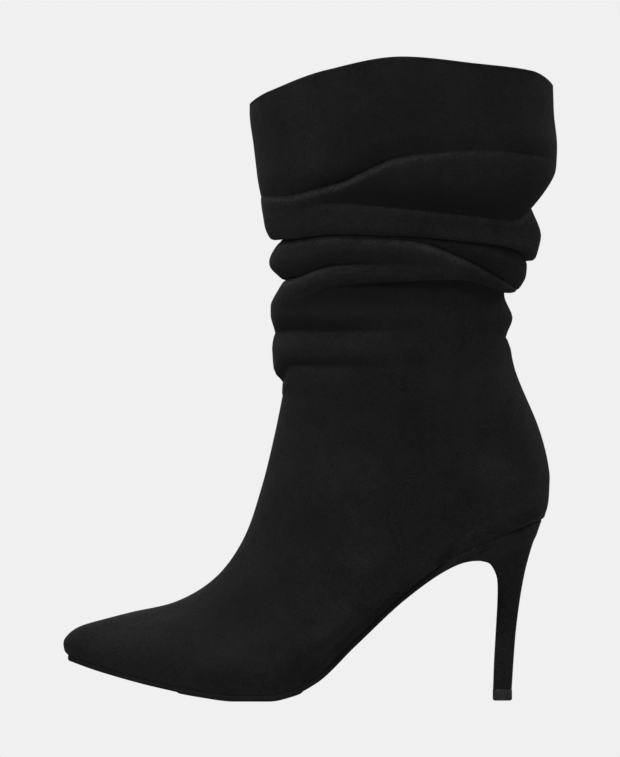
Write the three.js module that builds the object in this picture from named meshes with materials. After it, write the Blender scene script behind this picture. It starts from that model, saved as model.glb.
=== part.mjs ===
// A women's left pull-on boot with a pointed toe, a slouched shaft and a slim high heel.
// Millimetres, +Z up. The toe points along -X and the outer side of the foot faces -Y.
// The origin is on the floor, under the middle of the boot's box.
import * as THREE from "three";

// Driving sizes
const footLength = 238.6; // toe tip to the back of the heel, along the floor
const ballWidth = 74; // lasted bottom at the ball
const heelSeatWidth = 52; // lasted bottom at the heel
const heelHeight = 88.7; // floor to the feather line at the back of the heel
const toeSpring = 20; // how far the sole's tip stands off the floor
const toeSwing = 7; // how far the toe tip leans to the inner side
const ankleHeight = 61.3; // feather line at the back up to the ankle section
const ankleDepth = 119.2; // ankle section, front to back
const ankleWidth = 76; // ankle section, side to side
const shaftHeight = 165.7; // ankle section to the collar's highest point
const collarDepth = 148.4; // collar, front to back
const collarWidth = 94; // collar, side to side
const foldDepth = 8; // a full crease between two rolls
const foldTuck = 0.1; // how far a crease is tucked up under the roll above, per depth
const upperWall = 1.8; // suede and its lining
const soleThickness = 2;
const soleTailThickness = 4; // the sole thickens to this where it meets the heel
const treadThickness = 0.6; // raised forepart tread under the sole
const treadInset = 3; // sole's edge to the tread's edge
const treadStep = 0.6; // length of the tread's end slopes
const soleEdge = 0.4; // how far sole and heel seat stand out past the upper's feather line
const soleBevel = 0.5; // bottom edge of the sole, drawn in
const insoleThickness = 2;
const liftHeight = 5.6; // hard top lift under the heel's tip
const tipDepth = 9.2; // heel's tip, front to back
const tipWidth = 8.8; // heel's tip, side to side
const liftChamfer = 0.7;
const liftEdge = 0.15; // how far the top lift stands out past the heel's tip
const fitGap = 0.3; // clearance between touching pieces

// Places along the foot, from the toe
const featherFront = footLength * 0.0105;
const featherBack = footLength * 0.9816;
const legCentre = footLength * 0.7;
const ballCentre = footLength * 0.37;
const seatFront = footLength * 0.8115;
const tipCentre = footLength * 0.9032;
const tailStart = footLength * 0.68;
const flatFront = footLength * 0.352;
const flatBack = footLength * 0.423;
const treadFront = footLength * 0.235;
const treadBack = footLength * 0.492;

// Mesh density
const columnCount = 52;
const columnEvening = 0.35;

// Lasted bottom from toe to heel: height is toe spring times spring plus heel height times rise.
const LAST_BOTTOM = [
  { along: 0, spring: 1, rise: 0 },
  { along: 0.073, spring: 0.695, rise: 0 },
  { along: 0.197, spring: 0.3, rise: 0 },
  { along: 0.285, spring: 0.095, rise: 0 },
  { along: flatFront / footLength, spring: 0, rise: 0 },
  { along: flatBack / footLength, spring: 0, rise: 0 },
  { along: 0.469, spring: 0, rise: 0.027 },
  { along: 0.516, spring: 0, rise: 0.094 },
  { along: 0.595, spring: 0, rise: 0.303 },
  { along: 0.697, spring: 0, rise: 0.568 },
  { along: 0.803, spring: 0, rise: 0.789 },
  { along: 0.904, spring: 0, rise: 0.915 },
  { along: 0.982, spring: 0, rise: 1 },
  { along: 1.01, spring: 0, rise: 1.03 },
];

// Fullness of the feather line from toe to heel: shares of the ball width on the outer and
// inner side, and of the heel seat width on both.
const FEATHER_OUTLINE = [
  { along: 0, outer: 0.27, inner: 0.27, seat: 0 },
  { along: 0.03, outer: 0.285, inner: 0.285, seat: 0 },
  { along: 0.08, outer: 0.35, inner: 0.35, seat: 0 },
  { along: 0.15, outer: 0.416, inner: 0.4, seat: 0 },
  { along: 0.25, outer: 0.484, inner: 0.499, seat: 0 },
  { along: 0.33, outer: 0.518, inner: 0.546, seat: 0 },
  { along: 0.42, outer: 0.52, inner: 0.493, seat: 0 },
  { along: 0.5, outer: 0.446, inner: 0.392, seat: 0 },
  { along: 0.6, outer: 0.25, inner: 0.155, seat: 0.175 },
  { along: 0.7, outer: 0.1, inner: 0.015, seat: 0.36 },
  { along: 0.8, outer: 0, inner: -0.03, seat: 0.585 },
  { along: 0.9, outer: 0, inner: 0, seat: 0.825 },
  { along: 0.97, outer: 0, inner: 0, seat: 1.015 },
  { along: 1, outer: 0, inner: 0, seat: 1.06 },
];

// Sections of the foot from the feather line up to the ankle. Each runs from a front point on
// the vamp to a back point on the counter: front and back along the foot's length, frontRise and
// backRise from the lasted bottom up to the ankle, sag how much of the bottom's curve it keeps,
// width its half width as a share of the ball, lasted how far it keeps the feather's outline and
// swell how far that outline is blown out.
const FOOT_SECTIONS = [
  {
    front: 0.0105, frontRise: 0, back: 0.9816, backRise: 0,
    sag: 1, width: 0.5, lasted: 1, swell: 1,
  },
  {
    front: 0.001, frontRise: 0.018, back: 0.989, backRise: 0.021,
    sag: 1, width: 0.5, lasted: 1, swell: 1.02,
  },
  {
    front: 0.004, frontRise: 0.066, back: 0.992, backRise: 0.054,
    sag: 0.97, width: 0.53, lasted: 0.96, swell: 1.045,
  },
  {
    front: 0.042, frontRise: 0.137, back: 0.995, backRise: 0.09,
    sag: 0.92, width: 0.53, lasted: 0.85, swell: 1.06,
  },
  {
    front: 0.134, frontRise: 0.222, back: 0.9975, backRise: 0.135,
    sag: 0.82, width: 0.52, lasted: 0.72, swell: 1.06,
  },
  {
    front: 0.235, frontRise: 0.294, back: 0.999, backRise: 0.19,
    sag: 0.68, width: 0.49, lasted: 0.56, swell: 1.04,
  },
  {
    front: 0.314, frontRise: 0.39, back: 1, backRise: 0.27,
    sag: 0.5, width: 0.465, lasted: 0.4, swell: 1.02,
  },
  {
    front: 0.3715, frontRise: 0.524, back: 1, backRise: 0.38,
    sag: 0.3, width: 0.46, lasted: 0.25, swell: 1,
  },
  {
    front: 0.408, frontRise: 0.694, back: 0.9915, backRise: 0.56,
    sag: 0.13, width: 0.47, lasted: 0.12, swell: 1,
  },
  {
    front: 0.4345, frontRise: 0.868, back: 0.975, backRise: 0.77,
    sag: 0.04, width: 0.49, lasted: 0.04, swell: 1,
  },
  {
    front: 0.451, frontRise: 1, back: 0.9498, backRise: 1,
    sag: 0, width: 0.513, lasted: 0, swell: 1,
  },
];

// Sections of the shaft over the crowns of its rolls, from the ankle (0) to the collar's top (1):
// how far front, back and width have opened from the ankle's size to the collar's.
const SHAFT_SECTIONS = [
  { rise: 0, front: 0, back: 0, width: 0 },
  { rise: 0.042, front: 0.12, back: -0.2, width: 0 },
  { rise: 0.083, front: 0.3, back: -0.36, width: 0.01 },
  { rise: 0.133, front: 0.34, back: -0.46, width: 0.03 },
  { rise: 0.223, front: 0.4, back: -0.42, width: 0.12 },
  { rise: 0.302, front: 0.43, back: -0.14, width: 0.24 },
  { rise: 0.356, front: 0.44, back: 0.08, width: 0.33 },
  { rise: 0.416, front: 0.45, back: 0.4, width: 0.43 },
  { rise: 0.46, front: 0.52, back: 0.53, width: 0.51 },
  { rise: 0.53, front: 0.65, back: 0.73, width: 0.63 },
  { rise: 0.603, front: 0.78, back: 0.92, width: 0.75 },
  { rise: 0.676, front: 0.88, back: 1.05, width: 0.86 },
  { rise: 0.736, front: 0.96, back: 1.08, width: 0.94 },
  { rise: 0.84, front: 1.1, back: 0.97, width: 1 },
  { rise: 1, front: 1.06, back: 0.92, width: 1 },
];

// Stations round the shaft in degrees: 0 front, 90 outer side, 180 back, 270 inner side.
const ROUND_STATIONS = [0, 30, 60, 90, 120, 150, 180, 225, 270, 315];

// Collar line: share of the shaft's height at each station.
const COLLAR_LINE = [0.866, 0.902, 0.961, 1, 0.98, 0.96, 0.921, 0.942, 0.966, 0.905];

// Creases between the slouched rolls, from the lowest up. heights are shares of the shaft's
// height and depths shares of a full crease, at each station. above and below say how many full
// crease depths the crease takes to open out, roundAbove and roundBelow how round the roll is there.
// One number holds for all the stations.
const FOLDS = [
  {
    name: "lower front trough",
    heights: [0.035, 0.082, 0.08, 0.08, 0.078, 0.066, 0.066, 0.066, 0.07, 0.06],
    depths: [0.22, 0.45, 0.4, 0.08, 0, 0, 0, 0, 0.08, 0.2],
    above: [0.6, 0.9, 1, 1, 1, 1, 1, 1, 1, 0.8],
    below: 0.8,
    roundAbove: 0.2,
    roundBelow: 0.5,
  },
  {
    name: "upper front trough",
    heights: [0.181, 0.184, 0.181, 0.19, 0.195, 0.181, 0.167, 0.175, 0.193, 0.188],
    depths: [0.25, 0.6, 0.55, 0.12, 0, 0.1, 0.35, 0.32, 0.2, 0.25],
    above: 1.3,
    below: 0.9,
    roundAbove: 0.2,
    roundBelow: 0.5,
  },
  {
    name: "crease under the lowest roll",
    heights: [0.284, 0.268, 0.314, 0.329, 0.334, 0.303, 0.292, 0.296, 0.293, 0.275],
    depths: [0.05, 0.25, 0.42, 0.5, 0.5, 0.65, 0.95, 0.8, 0.65, 0.35],
    above: [0.8, 1.3, 0.9, 0.6, 0.6, 0.6, 0.6, 0.6, 0.6, 0.6],
    below: [2, 2.4, 2.8, 2.8, 2.6, 1.8, 1.4, 1.4, 1.5, 1.8],
    roundAbove: [0.3, 0.3, 0.5, 0.9, 0.9, 0.9, 0.9, 0.9, 0.9, 0.6],
    roundBelow: 0.1,
  },
  {
    name: "front crease inside the lowest roll",
    heights: [0.328, 0.338, 0.377, 0.384, 0.368, 0.316, 0.301, 0.311, 0.353, 0.342],
    depths: [1, 0.7, 0.6, 0.2, 0, 0, 0, 0, 0.25, 0.75],
    above: 1.3,
    below: [1.5, 1.3, 1.3, 1.3, 1.3, 1.3, 1.3, 1.3, 1.3, 1.5],
    roundAbove: 0.5,
    roundBelow: [0.45, 0.8, 0.8, 0.8, 0.8, 0.8, 0.8, 0.8, 0.6, 0.3],
  },
  {
    name: "crease under the wedge roll",
    heights: [0.445, 0.446, 0.458, 0.453, 0.396, 0.338, 0.306, 0.32, 0.392, 0.445],
    depths: [0.5, 0.3, 0.3, 0.5, 0.7, 0.5, 0.3, 0.4, 0.6, 0.7],
    above: 1.2,
    below: 0.9,
    roundAbove: 0.8,
    roundBelow: 0.8,
  },
  {
    name: "crease under the cuff",
    heights: [0.449, 0.454, 0.468, 0.462, 0.447, 0.424, 0.39, 0.404, 0.459, 0.46],
    depths: [0.95, 0.5, 0.42, 0.42, 0.45, 0.6, 0.5, 0.6, 0.8, 0.9],
    above: 0.35,
    below: 1.2,
    roundAbove: 1,
    roundBelow: 0.8,
  },
  {
    name: "crease under the back puff",
    heights: [0.537, 0.54, 0.563, 0.544, 0.524, 0.509, 0.555, 0.573, 0.576, 0.555],
    depths: [0, 0, 0.25, 0.6, 0.85, 1, 1.35, 0.75, 0.4, 0.08],
    above: 2.5,
    below: 2,
    roundAbove: 0.7,
    roundBelow: 0.4,
  },
  {
    name: "valley over the back puff",
    heights: [0.585, 0.585, 0.617, 0.702, 0.72, 0.708, 0.682, 0.665, 0.63, 0.6],
    depths: [0.08, 0.35, 0.6, 0.4, 0.2, 0.1, 0, 0.08, 0.2, 0.12],
    above: 1.4,
    below: [0.7, 0.7, 0.7, 1, 1, 0.9, 0.9, 0.9, 0.9, 0.9],
    roundAbove: 0.5,
    roundBelow: 0.9,
  },
];

// Mesh rows between neighbouring foot sections, and between neighbouring creases of the shaft
const FOOT_ROWS = [0, 0.5, 1, 2, 2.5, 3, 3.5, 4, 4.5, 5, 5.5, 6, 7, 8, 9, 10];
const SHAFT_STEPS = [
  [0.5],
  [0.5],
  [0.33, 0.68, 0.88],
  [0.33, 0.7],
  [0.3, 0.65, 0.88],
  [0.5],
  [0.2, 0.5, 0.8],
  [0.22, 0.5, 0.85],
  [0.1, 0.4, 0.7],
];

// Sections of the heel from its tip up to the seat: front and back run from the tip (0) to the
// seat (1), frontRise and backRise are shares of the height of the sole's end and of the seat's
// back, wide opens from the tip's outline to the seat's.
const HEEL_SECTIONS = [
  { front: -0.023, frontRise: 0.269, back: 0.053, backRise: 0.206, wide: 0.003 },
  { front: -0.076, frontRise: 0.508, back: 0.138, backRise: 0.383, wide: 0.02 },
  { front: -0.122, frontRise: 0.72, back: 0.276, backRise: 0.56, wide: 0.05 },
  { front: -0.128, frontRise: 0.855, back: 0.421, backRise: 0.693, wide: 0.1 },
  { front: -0.081, frontRise: 0.927, back: 0.553, backRise: 0.782, wide: 0.18 },
  { front: 0.076, frontRise: 1.0, back: 0.717, backRise: 0.871, wide: 0.34 },
  { front: 0.302, frontRise: 1.024, back: 0.836, backRise: 0.915, wide: 0.53 },
  { front: 0.535, frontRise: 1.027, back: 0.928, backRise: 0.959, wide: 0.73 },
  { front: 0.8, frontRise: 1.017, back: 0.975, backRise: 0.98, wide: 0.92 },
  { front: 1, frontRise: 1, back: 1, backRise: 0.99, wide: 1 },
];

function mix(a, b, share) {
  return a + (b - a) * share;
}

function clamp01(value) {
  return Math.min(1, Math.max(0, value));
}

// Smooth curve through points that never overshoots them
function monotoneCurve(xs, ys, x) {
  const last = xs.length - 1;
  let k = 0;
  while (k < last - 1 && x > xs[k + 1]) k += 1;
  const slope = (i) => (ys[i + 1] - ys[i]) / (xs[i + 1] - xs[i]);
  const tangent = (i) => {
    if (i === 0) return slope(0);
    if (i === last) return slope(last - 1);
    const before = slope(i - 1);
    const after = slope(i);
    return before * after <= 0 ? 0 : (2 * before * after) / (before + after);
  };
  const width = xs[k + 1] - xs[k];
  const t = (x - xs[k]) / width;
  const rise = ys[k + 1] - ys[k];
  const bend = (1 - t) * tangent(k) * width - t * tangent(k + 1) * width + (2 * t - 1) * rise;
  return ys[k] + t * rise + t * (1 - t) * bend;
}

// One column of a table at a place on its key column
function tableValue(table, key, column, place) {
  return monotoneCurve(table.map((row) => row[key]), table.map((row) => row[column]), place);
}

// A value known at the stations round the shaft, at any angle
function roundValue(values, angle) {
  if (!Array.isArray(values)) return values;
  const turn = 360;
  const degrees = ((THREE.MathUtils.radToDeg(angle) % turn) + turn) % turn;
  const before = ROUND_STATIONS.map((station) => station - turn);
  const after = ROUND_STATIONS.map((station) => station + turn);
  const stations = [...before, ...ROUND_STATIONS, ...after];
  return monotoneCurve(stations, [...values, ...values, ...values], degrees);
}

// The foot sections blended smoothly at any place between two of them
function footSection(place) {
  const last = FOOT_SECTIONS.length - 1;
  const k = Math.min(last - 1, Math.floor(place));
  const t = place - k;
  const p1 = FOOT_SECTIONS[k];
  const p2 = FOOT_SECTIONS[k + 1];
  const p0 = FOOT_SECTIONS[Math.max(0, k - 1)];
  const p3 = FOOT_SECTIONS[Math.min(last, k + 2)];
  const section = {};
  for (const column of Object.keys(p1)) {
    const leave = (p2[column] - p0[column]) / 2;
    const arrive = (p3[column] - p1[column]) / 2;
    const step = p2[column] - p1[column];
    const bend = (1 - t) * (leave - step) - t * (arrive - step);
    section[column] = p1[column] + t * step + t * (1 - t) * bend;
  }
  return section;
}

// Height of the lasted bottom over the floor, level from side to side
function lastBottom(x) {
  const along = x / footLength;
  const spring = tableValue(LAST_BOTTOM, "along", "spring", along);
  const rise = tableValue(LAST_BOTTOM, "along", "rise", along);
  const base = soleThickness + treadThickness + fitGap;
  return base + toeSpring * spring + (heelHeight - base) * rise;
}

// The foot's middle line bends to the inner side in front of the ball
function middleLine(x) {
  return toeSwing * Math.max(0, 1 - x / ballCentre) ** 2;
}

// Share of the way from front to back, for an angle round the boot
function wayBack(angle) {
  return (1 - Math.cos(angle)) / 2;
}

// Fullness of the feather line; its half width is this times the sine of the angle
function featherFullness(angle) {
  const along = wayBack(angle);
  const side = Math.sin(angle) >= 0 ? "outer" : "inner";
  const ball = ballWidth * tableValue(FEATHER_OUTLINE, "along", side, along);
  return ball + heelSeatWidth * tableValue(FEATHER_OUTLINE, "along", "seat", along);
}

function featherPoint(angle) {
  const x = mix(featherFront, featherBack, wayBack(angle));
  return new THREE.Vector2(x, middleLine(x) - Math.sin(angle) * featherFullness(angle));
}

// The feather line moved out (or in, when negative) in plan
function featherOffset(angle, out) {
  const step = 0.001;
  const run = featherPoint(angle + step).sub(featherPoint(angle - step)).normalize();
  const point = featherPoint(angle);
  return new THREE.Vector2(point.x + run.y * out, point.y - run.x * out);
}

function footPoint(place, angle) {
  const section = footSection(place);
  const share = wayBack(angle);
  const ankle = heelHeight + ankleHeight;
  const frontX = section.front * footLength;
  const backX = section.back * footLength;
  const frontZ = mix(lastBottom(frontX), ankle, section.frontRise);
  const backZ = mix(heelHeight, ankle, section.backRise);
  const bottom = lastBottom(mix(featherFront, featherBack, share));
  const bottomChord = mix(lastBottom(featherFront), heelHeight, share);
  const x = mix(frontX, backX, share);
  const lasted = featherFullness(angle) * section.swell;
  const half = mix(section.width * ballWidth, lasted, section.lasted) * Math.sin(angle);
  const z = mix(frontZ, backZ, share) + section.sag * (bottom - bottomChord);
  return new THREE.Vector3(x, middleLine(x) - half, z);
}

// How far a crease has opened, from its bottom (0) to the crown of the roll (1)
function rollProfile(distance, roundness) {
  const t = clamp01(distance);
  const soft = (1 - Math.cos(Math.PI * t)) / 2;
  const round = Math.sqrt(1 - (1 - t) ** 2);
  return mix(soft, round, roundness);
}

// How far the creases draw the shaft in at a height and angle
function creaseDepth(height, angle) {
  const pulls = FOLDS.map((fold) => {
    const rise = (height - roundValue(fold.heights, angle)) * shaftHeight;
    const [reach, roundness] = rise > 0 ? [fold.above, fold.roundAbove] : [fold.below, fold.roundBelow];
    const way = Math.abs(rise) / (foldDepth * roundValue(reach, angle));
    const open = rollProfile(way, roundValue(roundness, angle));
    return foldDepth * roundValue(fold.depths, angle) * (1 - open);
  });
  return Math.hypot(...pulls);
}

function shaftPoint(height, angle) {
  const open = (column) => tableValue(SHAFT_SECTIONS, "rise", column, height);
  const front = mix(ankleDepth, collarDepth, open("front")) / 2;
  const back = mix(ankleDepth, collarDepth, open("back")) / 2;
  const half = mix(ankleWidth, collarWidth, open("width")) / 2;
  const reach = (front + back) / 2;
  const centre = legCentre + (back - front) / 2;
  const out = new THREE.Vector2(-Math.cos(angle) * half, -Math.sin(angle) * reach).normalize();
  const pull = creaseDepth(height, angle);
  const x = centre - Math.cos(angle) * reach - out.x * pull;
  const y = -Math.sin(angle) * half - out.y * pull;
  const z = heelHeight + ankleHeight + shaftHeight * height + foldTuck * pull;
  return new THREE.Vector3(x, middleLine(x) + y, z);
}

// Angle at which the feather line reaches a place along the foot
function angleAt(x) {
  return Math.acos(1 - 2 * clamp01((x - featherFront) / (featherBack - featherFront)));
}

// Angles of the mesh columns on the outer side, evened out so that the long side gets as many as
// the ends. One of them is where the outsole meets the heel.
function outerAngles() {
  const even = Array.from({ length: columnCount / 2 + 1 }, (_, j) => {
    const turn = (2 * Math.PI * j) / columnCount;
    return turn + (columnEvening * Math.sin(2 * turn)) / 2;
  });
  const seat = angleAt(seatFront);
  const distance = (angle) => Math.abs(angle - seat);
  const nearest = even.reduce((best, angle) => (distance(angle) < distance(best) ? angle : best));
  return even.map((angle) => (angle === nearest ? seat : angle));
}

// Angles of all mesh columns, once round the boot from its front
function columnAngles() {
  const outer = outerAngles();
  const inner = outer.slice(1, -1).reverse().map((angle) => 2 * Math.PI - angle);
  return [...outer, ...inner];
}

// Heights of the shaft's mesh rows at an angle: one row on each crease and a few between
function shaftRowHeights(angle) {
  const lines = [0, ...FOLDS.map((fold) => roundValue(fold.heights, angle)), roundValue(COLLAR_LINE, angle)];
  const rows = [];
  SHAFT_STEPS.forEach((steps, k) => {
    steps.forEach((step) => rows.push(mix(lines[k], lines[k + 1], step)));
    rows.push(lines[k + 1]);
  });
  return rows;
}

// A closed surface through rings of points. Rings that don't close on themselves end in caps,
// which join each point of a ring to the one that mirrors it.
function ringSurface(rings, closesOnItself) {
  const positions = [];
  const indices = [];
  const known = new Map();
  const keep = 1e4;
  const indexOf = (point) => {
    const key = [point.x, point.y, point.z].map((value) => Math.round(value * keep)).join(" ");
    if (!known.has(key)) {
      known.set(key, positions.length / 3);
      positions.push(point.x, point.y, point.z);
    }
    return known.get(key);
  };
  const triangle = (a, b, c) => {
    const corners = [indexOf(a), indexOf(b), indexOf(c)];
    if (new Set(corners).size === 3) indices.push(...corners);
  };
  const quad = (a, b, c, d) => {
    triangle(a, b, c);
    triangle(a, c, d);
  };
  const count = rings[0].length;
  const bands = closesOnItself ? rings.length : rings.length - 1;
  for (let k = 0; k < bands; k += 1) {
    const low = rings[k];
    const high = rings[(k + 1) % rings.length];
    for (let j = 0; j < count; j += 1) {
      const next = (j + 1) % count;
      quad(low[j], low[next], high[next], high[j]);
    }
  }
  if (!closesOnItself) {
    const first = rings[0];
    const last = rings[rings.length - 1];
    for (let j = 0; j < count / 2 - 1; j += 1) {
      quad(first[count - 1 - j], first[count - 2 - j], first[j + 1], first[j]);
      quad(last[j], last[j + 1], last[count - 2 - j], last[count - 1 - j]);
    }
  }
  const geometry = new THREE.BufferGeometry();
  geometry.setAttribute("position", new THREE.Float32BufferAttribute(positions, 3));
  geometry.setIndex(indices);
  return facingOut(geometry);
}

// The same geometry with its triangles turned so that they face away from the material
function facingOut(geometry) {
  const position = geometry.getAttribute("position");
  const index = geometry.getIndex();
  const corner = (k) => new THREE.Vector3().fromBufferAttribute(position, index.getX(k));
  let volume = 0;
  for (let k = 0; k < index.count; k += 3) {
    volume += corner(k).dot(corner(k + 1).cross(corner(k + 2)));
  }
  if (volume < 0) {
    for (let k = 0; k < index.count; k += 3) {
      const second = index.getX(k + 1);
      index.setX(k + 1, index.getX(k + 2));
      index.setX(k + 2, second);
    }
  }
  geometry.computeVertexNormals();
  return geometry;
}

// Outer surface of the upper as rows of points, from the feather line up to the collar
function upperRows(angles) {
  const foot = FOOT_ROWS.map((place) => angles.map((angle) => footPoint(place, angle)));
  const heights = angles.map((angle) => shaftRowHeights(angle));
  const shaft = heights[0].map((_, row) => angles.map((angle, j) => shaftPoint(heights[j][row], angle)));
  return [...foot, ...shaft];
}

// The inner side of the upper: each point moved in by the wall. The two rims stay level.
function lining(rows, angles) {
  const lastRow = rows.length - 1;
  return rows.map((row, k) => row.map((point, j) => {
    if (k === 0) {
      const inset = featherOffset(angles[j], -upperWall);
      return new THREE.Vector3(inset.x, inset.y, lastBottom(inset.x));
    }
    const count = row.length;
    const round = new THREE.Vector3().subVectors(row[(j + 1) % count], row[(j + count - 1) % count]);
    const up = new THREE.Vector3().subVectors(rows[Math.min(lastRow, k + 1)][j], rows[k - 1][j]);
    const out = round.cross(up);
    if (k === lastRow) out.z = 0;
    return point.clone().addScaledVector(out.normalize(), -upperWall);
  }));
}

function upper() {
  const angles = columnAngles();
  const outside = upperRows(angles);
  const inside = lining(outside, angles);
  return ringSurface([...outside, ...inside.reverse()], true);
}

// One loop round a flat piece that follows the lasted bottom: the outer side from front to back,
// then the inner side from back to front. drop gives how far it lies under the lasted bottom.
function bottomLoop(angles, out, drop) {
  const side = (sign) => angles.map((angle) => {
    const plan = featherOffset(sign * angle, out);
    return new THREE.Vector3(plan.x, plan.y, underLast(plan.x, drop(plan.x)));
  });
  return [...side(1), ...side(-1).reverse()];
}

// Height under the lasted bottom, with drop measured square to its slope
function underLast(x, drop) {
  const step = 0.5;
  const slope = (lastBottom(x + step) - lastBottom(x - step)) / (2 * step);
  return lastBottom(x) - drop * Math.hypot(1, slope);
}

// Angles of the upper's columns on one side, with an extra one at each given place
function sideAngles(from, to, extras) {
  const low = angleAt(from);
  const high = angleAt(to);
  const apart = 0.012;
  const chosen = [low, ...extras.map(angleAt), high];
  const inside = outerAngles().filter((angle) => angle > low && angle < high);
  const spare = inside.filter((angle) => chosen.every((other) => Math.abs(other - angle) > apart));
  return [...chosen, ...spare].sort((a, b) => a - b);
}

// Thickness of the sole at a place along the foot
function soleDepth(x) {
  const share = clamp01((x - tailStart) / (seatFront - tailStart));
  return mix(soleThickness, soleTailThickness, share * share);
}

// How far the tread stands down from the sole at a place along the foot
function treadDepth(x) {
  return x > treadFront + treadStep / 2 && x < treadBack - treadStep / 2 ? treadThickness : 0;
}

function outsole() {
  const treadEnds = [treadFront, treadFront + treadStep, treadBack - treadStep, treadBack];
  const end = seatFront - fitGap;
  const angles = sideAngles(featherFront, end, [...treadEnds, flatFront, flatBack]);
  const bevelStart = 0.6;
  const loops = [
    bottomLoop(angles, soleEdge, () => fitGap),
    bottomLoop(angles, soleEdge, (x) => fitGap + soleDepth(x) * bevelStart),
    bottomLoop(angles, soleEdge - soleBevel, (x) => fitGap + soleDepth(x)),
    bottomLoop(angles, -treadInset, (x) => fitGap + soleDepth(x)),
    bottomLoop(angles, -treadInset - soleBevel, (x) => fitGap + soleDepth(x) + treadDepth(x)),
  ];
  const back = angles.length - 1;
  for (const loop of loops) {
    loop[back].x = end;
    loop[back + 1].x = end;
  }
  return ringSurface(loops, false);
}

function insole() {
  const front = featherFront + upperWall + fitGap;
  const back = featherBack - upperWall - fitGap;
  const angles = sideAngles(front, back, []);
  const inset = upperWall + fitGap;
  const loop = (height) => bottomLoop(angles, -inset, () => -height);
  return ringSurface([loop(0), loop(insoleThickness)], false);
}

// Places on the heel seat's outline from its front (0) to its back (1), under the upper's columns
function seatStations() {
  const run = featherBack - featherFront;
  const places = sideAngles(seatFront, featherBack, []).map((angle) => featherFront + wayBack(angle) * run);
  return places.map((x) => (x - seatFront) / (featherBack - seatFront));
}

// Half outline of the heel's tip from front (0) to back (1): flat breast, round back
function tipOutline(share) {
  const widest = 0.4;
  const breast = 0.62;
  if (share < widest) return 1 - (1 - breast) * ((widest - share) / widest) ** 2;
  return Math.sqrt(Math.max(0, 1 - ((share - widest) / (1 - widest)) ** 2));
}

// A level ring with the outline of the heel's tip
function tipRing(height, out) {
  const half = tipDepth / 2 + out;
  const side = (sign) => seatStations().map((share) => {
    const x = tipCentre - half + 2 * half * share;
    return new THREE.Vector3(x, -sign * (tipWidth / 2 + out) * tipOutline(share), height);
  });
  return [...side(1), ...side(-1).reverse()];
}

// A point of the heel seat's outline, on the underside of the lasted bottom
function seatPoint(share, sign) {
  const angle = angleAt(mix(seatFront, featherBack, share));
  const plan = featherOffset(sign * angle, soleEdge);
  if (share === 0) plan.x = seatFront;
  return new THREE.Vector3(plan.x, plan.y, underLast(plan.x, fitGap));
}

function heelRing(section) {
  const tipFront = tipCentre - tipDepth / 2;
  const tipBack = tipCentre + tipDepth / 2;
  const frontX = mix(tipFront, seatPoint(0, 1).x, section.front);
  const backX = mix(tipBack, seatPoint(1, 1).x, section.back);
  const frontZ = underLast(seatFront, fitGap + soleDepth(seatFront)) * section.frontRise;
  const backZ = seatPoint(1, 1).z * section.backRise;
  const side = (sign) => seatStations().map((share) => {
    const slim = (-sign * tipOutline(share) * tipWidth) / 2;
    const y = mix(slim, seatPoint(share, sign).y, section.wide);
    return new THREE.Vector3(mix(frontX, backX, share), y, mix(frontZ, backZ, share));
  });
  return [...side(1), ...side(-1).reverse()];
}

function heel() {
  const bottom = tipRing(liftHeight + fitGap, 0);
  const side = (sign) => seatStations().map((share) => seatPoint(share, sign));
  const seat = [...side(1), ...side(-1).reverse()];
  return ringSurface([bottom, ...HEEL_SECTIONS.map(heelRing), seat], false);
}

function topLift() {
  const rings = [
    tipRing(0, liftEdge - liftChamfer),
    tipRing(liftChamfer, liftEdge),
    tipRing(liftHeight, liftEdge),
  ];
  return ringSurface(rings, false);
}

function piece(name, geometry, color, roughness) {
  const material = new THREE.MeshStandardMaterial({ color, roughness, metalness: 0 });
  const mesh = new THREE.Mesh(geometry, material);
  mesh.name = name;
  return mesh;
}

const boot = new THREE.Group();
boot.add(piece("upper", upper(), 0x1b1b1c, 0.95));
boot.add(piece("insole", insole(), 0x2a2826, 0.7));
boot.add(piece("outsole", outsole(), 0x1c1c1d, 0.5));
boot.add(piece("heel", heel(), 0x1b1b1c, 0.95));
boot.add(piece("top_lift", topLift(), 0x35353a, 0.45));

const box = new THREE.Box3().setFromObject(boot);
const middle = box.getCenter(new THREE.Vector3());
boot.position.set(-middle.x, -middle.y, 0);

export default boot;
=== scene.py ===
"""Women's left pull-on slouch boot in black suede, with a pointed toe and a slim high heel."""

import math

import bmesh
import bpy
import numpy as np
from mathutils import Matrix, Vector


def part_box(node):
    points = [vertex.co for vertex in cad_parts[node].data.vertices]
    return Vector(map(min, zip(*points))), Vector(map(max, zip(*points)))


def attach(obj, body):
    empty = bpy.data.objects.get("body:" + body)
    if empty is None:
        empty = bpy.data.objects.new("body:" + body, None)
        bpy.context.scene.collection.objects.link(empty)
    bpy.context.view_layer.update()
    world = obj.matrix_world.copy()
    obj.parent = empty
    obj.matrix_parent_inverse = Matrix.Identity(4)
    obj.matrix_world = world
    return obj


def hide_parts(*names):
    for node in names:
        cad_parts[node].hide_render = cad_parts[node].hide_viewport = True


bl_info = {
    "name": "Slouch Boot",
    "version": (1, 0, 0),
    "blender": (4, 5, 0),
    "location": "3D View > Sidebar > Slouch Boot",
    "description": "Builds a suede slouch boot with a pointed toe and a slim high heel",
    "category": "Add Mesh",
}

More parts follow.
